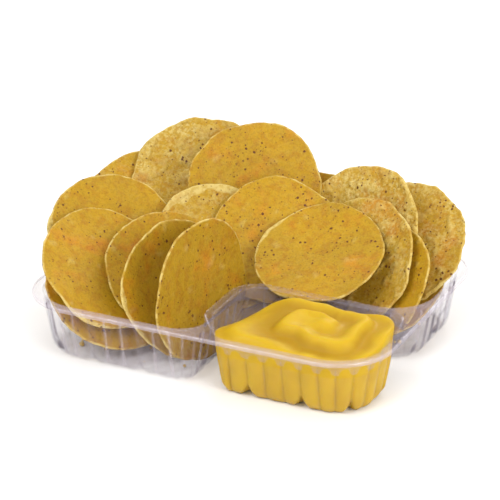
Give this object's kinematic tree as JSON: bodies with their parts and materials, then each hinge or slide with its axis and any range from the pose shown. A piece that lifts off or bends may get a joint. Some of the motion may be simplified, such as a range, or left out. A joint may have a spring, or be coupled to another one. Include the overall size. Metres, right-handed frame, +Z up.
{
  "type": "nachos with cheese",
  "caption": "Round corn chips heaped in a clear two-pocket tray, with warm cheese filling the small pocket and reaching up behind its raised dam.",
  "frame": {"origin": "bottom centre of the whole, heap and tray together, on the surface it rests on", "axes": "+X along the tray to the right, +Y to its back, +Z up; the cheese pocket is at the front right corner"},
  "size_m": [0.2099, 0.1648, 0.0937],
  "materials": {
    "clear_plastic": "thin clear formed plastic, glossy, faintly lilac grey",
    "cheese": "smooth bright yellow cheese sauce, satin, softly folded",
    "corn_chip": "dry fried corn, golden yellow with orange patches, pale blistered faces and small dark specks"
  },
  "bodies": {
    "root": {"tray": "clear_plastic", "cheese": "cheese", "chip_front_centre": "corn_chip", "chip_front_second": "corn_chip", "chip_front_third": "corn_chip", "chip_front_left": "corn_chip", "chip_front_left_under": "corn_chip", "chip_floor_left": "corn_chip", "chip_left": "corn_chip", "chip_left_behind": "corn_chip", "chip_back_left": "corn_chip", "chip_above_cheese": "corn_chip", "chip_behind_cheese": "corn_chip", "chip_tilted": "corn_chip", "chip_right_front": "corn_chip", "chip_right_sliver": "corn_chip", "chip_right_tucked": "corn_chip", "chip_right_back": "corn_chip", "chip_right_end": "corn_chip", "chip_floor_right": "corn_chip", "chip_top_left": "corn_chip", "chip_top": "corn_chip", "chip_back_first": "corn_chip", "chip_back_second": "corn_chip", "chip_back_third": "corn_chip", "chip_back_fourth": "corn_chip", "chip_floor_middle": "corn_chip", "chip_floor_back_left": "corn_chip", "chip_floor_back": "corn_chip"}
  },
  "joints": []
}
